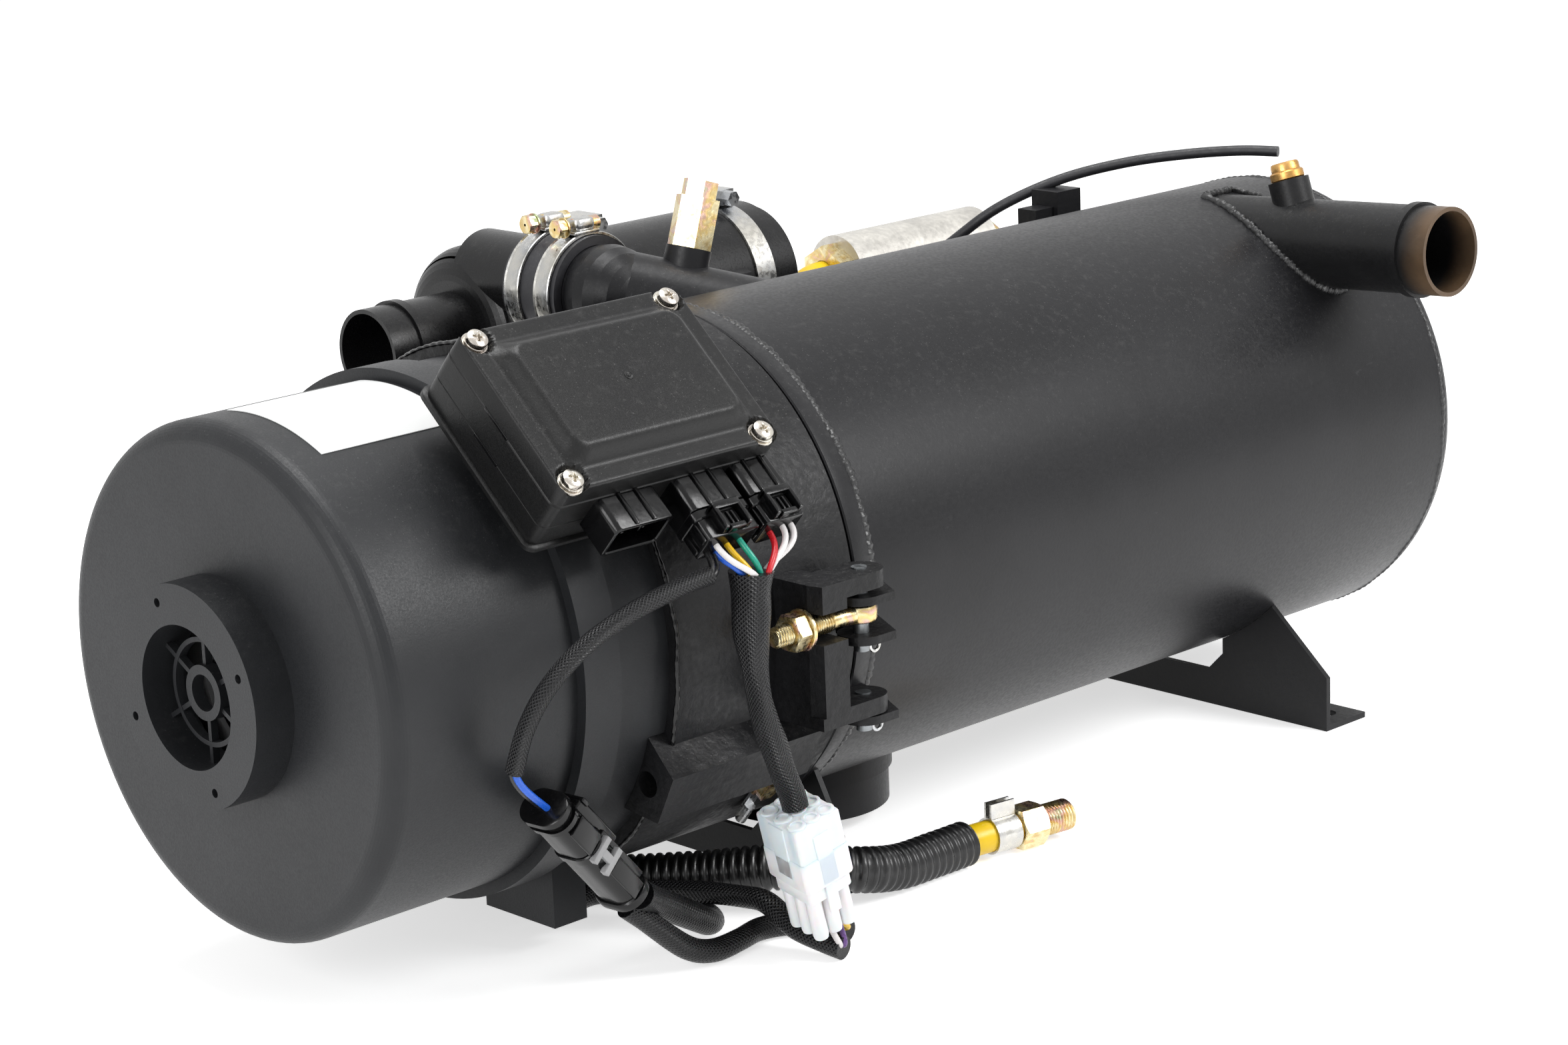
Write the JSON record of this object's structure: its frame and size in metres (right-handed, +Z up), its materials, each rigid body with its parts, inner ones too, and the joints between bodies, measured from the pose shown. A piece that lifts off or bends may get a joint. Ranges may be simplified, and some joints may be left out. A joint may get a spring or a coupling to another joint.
{
  "type": "coolant parking heater",
  "caption": "Coolant parking heater: burner head with blower and control unit, hinged and clamped on a round water-jacket exchanger with pump, pipes, feet and wiring",
  "frame": {"origin": "middle of the front foot's two bolt holes, on the floor under the heater axis", "axes": "X along the heater axis from burner head to exchanger rear, Y to the pump side, Z up"},
  "size_m": [0.6115, 0.3365, 0.2595],
  "materials": {
    "black_paint": "satin black paint",
    "inner_steel": "bare heat-resisting steel",
    "burner_steel": "heat-tinted steel",
    "zinc_yellow": "yellow zinc plate",
    "zinc_clear": "clear zinc plate",
    "brass": "turned brass",
    "silver_case": "bare aluminium",
    "head_plastic": "grained black plastic",
    "pump_plastic": "smooth black plastic",
    "connector_black": "glossy black plastic",
    "connector_white": "milky white plastic",
    "grey_plastic": "grey moulded plastic",
    "rubber_black": "black rubber",
    "sleeve_braid": "braided sleeve",
    "conduit_black": "ribbed black plastic",
    "tube_yellow": "yellow tube",
    "board_green": "coated board",
    "label_white": "blank white label",
    "wire_mixed": "coloured wire"
  },
  "bodies": {
    "exchanger": {"hx_jacket": "black_paint", "hx_inner": "inner_steel", "hx_rear_cap": "black_paint", "combustion_tube": "burner_steel", "exhaust_stub": "black_paint", "outlet_pipe": "black_paint", "temp_sensor": "brass", "inlet_pipe": "black_paint", "bleed_body": "zinc_yellow", "front_foot": "black_paint", "rear_foot": "black_paint", "gasket": "rubber_black", "clamp_ears": "black_paint", "hinge_pins": "zinc_clear", "cotter_pins": "zinc_clear", "pump_bracket": "black_paint", "pump_volute": "pump_plastic", "pump_stub": "pump_plastic", "pump_motor": "pump_plastic", "pump_bands": "zinc_clear", "coolant_hose": "rubber_black", "hose_clamps": "zinc_clear", "fuel_valve": "silver_case", "valve_nuts": "zinc_yellow", "tube_clip": "black_paint", "vent_tube": "rubber_black", "conduit": "conduit_black", "fuel_tube": "tube_yellow", "tube_clamp": "zinc_clear", "fuel_fitting": "zinc_yellow"},
    "burner_head": {"cap": "head_plastic", "intake_ring": "head_plastic", "blower_housing": "head_plastic", "burner_housing": "black_paint", "blower_motor": "pump_plastic", "burner_nozzle": "burner_steel", "ecu_tray": "head_plastic", "ecu_lid": "head_plastic", "ecu_board": "board_green", "ecu_screws": "zinc_clear", "plug_mid": "connector_black", "plug_right": "connector_black", "wires": "wire_mixed", "sleeve_a": "sleeve_braid", "sleeve_b": "sleeve_braid", "two_pin_plug": "connector_black", "two_pin_socket": "connector_black", "nine_pin_plug": "connector_white", "nine_pin_socket": "connector_white", "floor_sleeves": "sleeve_braid", "ring_terminal": "zinc_clear", "ground_screw": "zinc_yellow", "label_plate": "label_white"},
    "bleed_screw_body": {"bleed_screw": "zinc_yellow"},
    "pump_rotor": {"pump_impeller": "grey_plastic"},
    "blower_rotor": {"blower_impeller": "grey_plastic"},
    "near_swing_bolt": {"near_bolt": "zinc_yellow"},
    "near_swing_nut": {"near_nut": "zinc_yellow"},
    "far_swing_bolt": {"far_bolt": "zinc_yellow"},
    "far_swing_nut": {"far_nut": "zinc_yellow"}
  },
  "joints": [
    {"name": "head_swing", "type": "hinge", "parent": "exchanger", "child": "burner_head", "pos_m": [-0.03225, -0.118, 0.122], "axis": [0, 0, 1], "range_deg": [0, 75]},
    {"name": "near_bolt_swing", "type": "hinge", "parent": "burner_head", "child": "near_swing_bolt", "pos_m": [-0.03225, -0.118, 0.125], "axis": [0, 0, 1], "range_deg": [0, 70]},
    {"name": "near_nut_travel", "type": "slide", "parent": "near_swing_bolt", "child": "near_swing_nut", "axis": [-1, 0, 0], "range_m": [0, 0.007]},
    {"name": "far_bolt_swing", "type": "hinge", "parent": "exchanger", "child": "far_swing_bolt", "pos_m": [-0.03225, 0.118, 0.125], "axis": [0, 0, 1], "range_deg": [0, 75]},
    {"name": "far_nut_travel", "type": "slide", "parent": "far_swing_bolt", "child": "far_swing_nut", "axis": [-0.2588, 0.9659, 0], "range_m": [0, 0.007]},
    {"name": "blower_spin", "type": "hinge", "parent": "burner_head", "child": "blower_rotor", "pos_m": [-0.19875, 0, 0.122], "axis": [1, 0, 0], "continuous": true},
    {"name": "pump_spin", "type": "hinge", "parent": "exchanger", "child": "pump_rotor", "pos_m": [0.02225, 0.156, 0.1895], "axis": [1, 0, 0], "continuous": true},
    {"name": "bleed_screw_travel", "type": "slide", "parent": "exchanger", "child": "bleed_screw_body", "axis": [0.309, 0, 0.9511], "range_m": [0, 0.004]}
  ]
}
